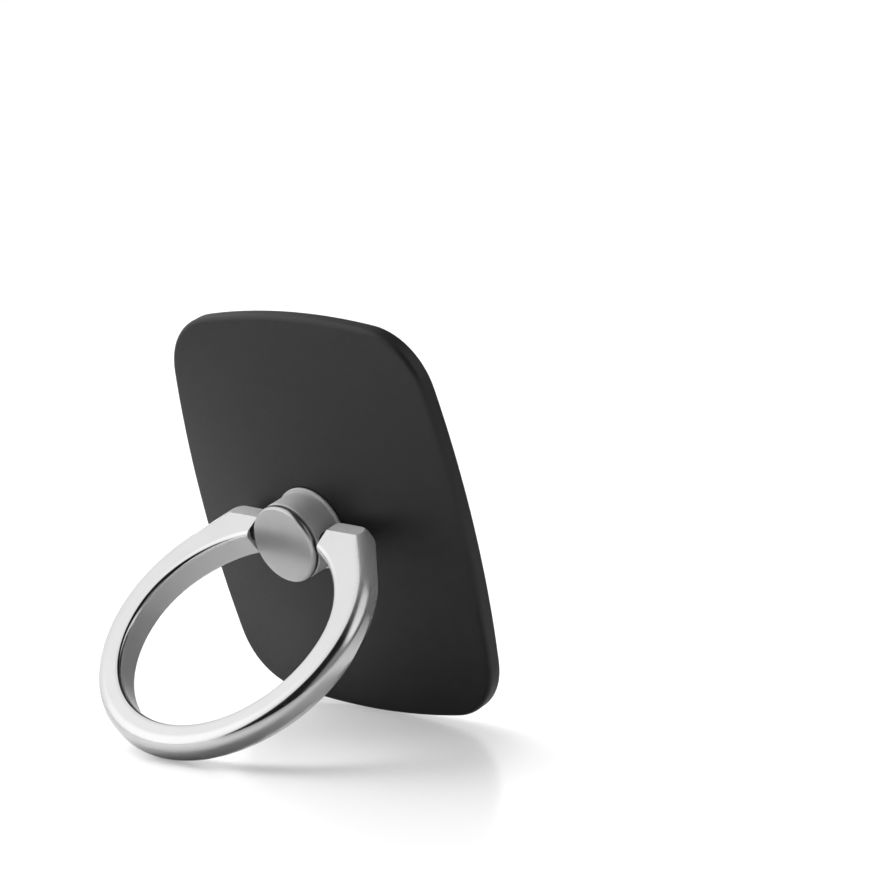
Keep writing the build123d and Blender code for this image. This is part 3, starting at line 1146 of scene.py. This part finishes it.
class RINGHOLDER_OT_pad(Operator):
    """Build the adhesive pad on the back"""

    bl_idname = "ringholder.pad"
    bl_label = "Adhesive pad"

    def execute(self, context):
        holder = context.scene.ring_holder
        pad = holder.pad
        foam = coated_material("Black foam", pad.colour, pad.roughness, pad.grain, pad.grain_height)
        mesh = finish_mesh(skinned("Pad", pad_rings(holder), "capped"), plate_frame(holder))
        add_piece("foam_pad", mesh, foam, "plate", "pad_foam", "adhesive_pad")
        return {"FINISHED"}


class RINGHOLDER_OT_hub(Operator):
    """Build the swivel hub and its cap"""

    bl_idname = "ringholder.hub"
    bl_label = "Hub and cap"

    def execute(self, context):
        holder = context.scene.ring_holder
        hub, hinge = holder.hub, holder.hinge
        place = hub_frame(holder)
        post_metal = satin_metal(
            "Satin post metal", hub.post_colour, hub.post_metallic, hub.post_roughness, place, FINE_MARK
        )
        cap_metal = satin_metal("Satin cap metal", hub.cap_colour, 1.0, hub.cap_roughness, place, CAP_MARK)
        post = turned_mesh(hub_profile(holder), turned_tree(), {"Material": post_metal})
        to_pin = Matrix.Translation((0.0, 0.0, hub_base(holder) + hinge.pin_rise))
        finish_mesh(post, to_pin.inverted())
        seat, edge = washer_seat(holder), 2 * hub.radius
        seat_radius = hinge.washer_radius + holder.bearing.clearance
        tools = [
            bar_mesh(hinge.pin_radius + holder.bearing.clearance, -edge, edge),
            bar_mesh(seat_radius, seat, edge),
            bar_mesh(seat_radius, -edge, -seat),
        ]
        post = finish_mesh(cut_away(post, tools), place @ to_pin)
        add_piece("hub_post", post, post_metal, "hub", "ring_metal", "swivel_hub")
        cap = finish_mesh(turned_mesh(cap_profile(holder), turned_tree(), {"Material": cap_metal}), place)
        add_piece("hub_cap_disc", cap, cap_metal, "hub", "ring_metal", "hub_cap")
        return {"FINISHED"}


class RINGHOLDER_OT_hinge(Operator):
    """Build the hinge pin and its two washers"""

    bl_idname = "ringholder.hinge"
    bl_label = "Hinge pin and washers"

    def execute(self, context):
        holder = context.scene.ring_holder
        along_pin = pin_frame() @ ALONG_PIN
        ring = holder.ring
        steel = satin_metal(
            "Drawn pin steel", ring.colour, ring.brushed_metallic, ring.brushed_roughness,
            along_pin, FINE_MARK,
        )
        plastic = washer_plastic("Black washer plastic", holder.hinge)
        pin = finish_mesh(skinned("Pin", pin_rings(holder), "capped"), ring_frame())
        add_piece("cross_pin", pin, steel, "ring", "spring_steel", "hinge_pin")
        middle = (lug_side(holder) - holder.hinge.face_clearance + washer_seat(holder)) / 2
        values = {"Offset": middle, "Material": plastic}
        pair = finish_mesh(turned_mesh(washer_profile(holder), pair_tree(), values, closed=True), along_pin)
        nodes = ("hinge_washer_left", "hinge_washer_right")
        add_piece("friction_washers", pair, plastic, "hub", "washer_black", *nodes)
        return {"FINISHED"}


class RINGHOLDER_OT_ring(Operator):
    """Build the finger ring"""

    bl_idname = "ringholder.ring"
    bl_label = "Finger ring"

    def execute(self, context):
        holder = context.scene.ring_holder
        ring = holder.ring
        place = ring_frame()
        hole_centre = place @ Matrix.Translation((0.0, -ring_drop(ring) - ring.hole_drop, 0.0))
        metal = ring_metal("Satin ring metal", ring, place, hole_centre)
        reach = ring_outer_radius(ring)
        hole = bar_mesh(holder.hinge.pin_radius + holder.hinge.hole_ease, -reach, reach)
        mesh = finish_mesh(cut_away(ring_blank(holder), [hole]), place)
        add_piece("finger_loop", mesh, metal, "ring", "ring_metal", "finger_ring")
        return {"FINISHED"}


class RINGHOLDER_OT_bearing(Operator):
    """Finish the bearing pieces behind the crown"""

    bl_idname = "ringholder.bearing"
    bl_label = "Bearing pieces"

    def execute(self, context):
        holder = context.scene.ring_holder
        place = plate_frame(holder)
        bearing = holder.bearing
        steel = satin_metal("Spring steel", bearing.steel, 1.0, bearing.steel_roughness, place, FINE_MARK)
        plastic = washer_plastic("Thrust washer plastic", holder.hinge)
        for node, material in (
            ("thrust_washer", plastic), ("disc_spring", steel), ("retaining_clip", steel),
        ):
            frame["nodes"][node].data.materials.clear()
            frame["nodes"][node].data.materials.append(material)
        return {"FINISHED"}


class RINGHOLDER_OT_stage(Operator):
    """Set out the floor, the light and the camera"""

    bl_idname = "ringholder.stage"
    bl_label = "Studio"

    def execute(self, context):
        stage = context.scene.ring_holder.stage
        add_floor(stage)
        add_light(context, stage)
        add_camera(context, stage)
        return {"FINISHED"}


def add_floor(stage):
    """A plain pale floor with a faint gloss, brightened for the camera as a lit studio table is."""
    material, tree, shader = new_material("Pale floor")
    shader.inputs["Base Color"].default_value = (*stage.floor_colour, 1.0)
    shader.inputs["Roughness"].default_value = stage.floor_roughness
    shader.inputs["Specular IOR Level"].default_value = stage.floor_gloss
    shader.inputs["Emission Strength"].default_value = stage.floor_glow
    path = tree.nodes.new("ShaderNodeLightPath")
    tree.links.new(path.outputs["Is Camera Ray"], shader.inputs["Emission Color"])
    bm = bmesh.new()
    bmesh.ops.create_circle(bm, cap_ends=True, segments=FLOOR_SEGMENTS, radius=stage.floor_radius)
    mesh = bpy.data.meshes.new("Floor")
    bm.to_mesh(mesh)
    bm.free()
    mesh.materials.append(material)
    scratch_object("Floor", mesh)


def sky(tree, base, lobes):
    """The brightness of a sky with soft lobes: each is a direction, two half angles and a strength."""
    place = new_node(tree, "ShaderNodeTexCoord")
    total = None
    for direction, edge, core, strength in lobes:
        towards = vector_node(tree, "DOT_PRODUCT")
        towards.inputs[1].default_value = Vector(direction).normalized()
        ramp = mask_node(tree, cos(radians(edge)), cos(radians(core)), interpolation_type="SMOOTHSTEP")
        ramp.inputs["To Max"].default_value = strength
        add = math_node(tree, "ADD", base)
        wire(
            tree,
            (place, "Generated", towards, 0),
            (towards, "Value", ramp, "Value"),
            (ramp, "Result", add, 0),
        )
        if total is not None:
            tree.links.new(total, add.inputs[1])
        total = add.outputs["Value"]
    return total


def add_light(context, stage):
    """A white studio: soft light from the upper left, and bright and dark sides for the metal to show."""
    world = bpy.data.worlds.new("Studio")
    world.use_nodes = True
    context.scene.world = world
    tree = world.node_tree
    background = tree.nodes["Background"]
    background.inputs["Color"].default_value = (1.0, 1.0, 1.0, 1.0)
    path = new_node(tree, "ShaderNodeLightPath")
    strength = None
    for kind, base, lobes in (
        ("Is Diffuse Ray", SOFT_BASE, SOFT_LIGHT),
        ("Is Glossy Ray", GLOSS_BASE, GLOSS_LIGHT),
    ):
        choose = new_node(tree, "ShaderNodeMix")
        choose.inputs["A"].default_value = stage.fill
        if strength is not None:
            tree.links.new(strength, choose.inputs["A"])
        tree.links.new(path.outputs[kind], choose.inputs["Factor"])
        tree.links.new(sky(tree, base, lobes), choose.inputs["B"])
        strength = choose.outputs["Result"]
    tree.links.new(strength, background.inputs["Strength"])
    context.scene.view_settings.view_transform = "Standard"


def add_camera(context, stage):
    """A camera at the photograph's viewing angle."""
    data = bpy.data.cameras.new("Camera")
    data.lens = stage.lens
    data.clip_start = stage.distance * CLIP_NEAR
    data.clip_end = stage.floor_radius * CLIP_FAR
    camera = bpy.data.objects.new("Camera", data)
    context.scene.collection.objects.link(camera)
    back = Vector((
        sin(stage.azimuth) * cos(stage.elevation),
        -cos(stage.azimuth) * cos(stage.elevation),
        sin(stage.elevation),
    ))
    right = Vector((cos(stage.azimuth), sin(stage.azimuth), 0.0))
    upright = axes_at(Vector(stage.aim) + back * stage.distance, right, back.cross(right), back)
    camera.matrix_world = upright @ Matrix.Rotation(stage.roll, 4, "Z")
    context.scene.camera = camera


class RINGHOLDER_PT_panel(Panel):
    """Lists the pieces of the holder and the studio."""

    bl_idname = "RINGHOLDER_PT_panel"
    bl_label = "Phone ring holder"
    bl_space_type = "VIEW_3D"
    bl_region_type = "UI"
    bl_category = "Ring holder"

    def draw(self, context):
        for step in OPERATORS:
            self.layout.operator(step.bl_idname)


OPERATORS = (
    RINGHOLDER_OT_plate,
    RINGHOLDER_OT_pad,
    RINGHOLDER_OT_hub,
    RINGHOLDER_OT_hinge,
    RINGHOLDER_OT_ring,
    RINGHOLDER_OT_bearing,
    RINGHOLDER_OT_stage,
)
GROUPS = (
    PlateSettings, PadSettings, BearingSettings, HubSettings, HingeSettings, RingSettings, StageSettings,
    HolderSettings,
)
CLASSES = GROUPS + OPERATORS + (RINGHOLDER_PT_panel,)


def register():
    for cls in CLASSES:
        bpy.utils.register_class(cls)
    bpy.types.Scene.ring_holder = PointerProperty(type=HolderSettings)


def unregister():
    del bpy.types.Scene.ring_holder
    for cls in reversed(CLASSES):
        bpy.utils.unregister_class(cls)


def main():
    register()
    bpy.ops.ringholder.plate()
    bpy.ops.ringholder.pad()
    bpy.ops.ringholder.hub()
    bpy.ops.ringholder.hinge()
    bpy.ops.ringholder.ring()
    bpy.ops.ringholder.bearing()
    bpy.ops.ringholder.stage()


if __name__ == "__main__":
    main()
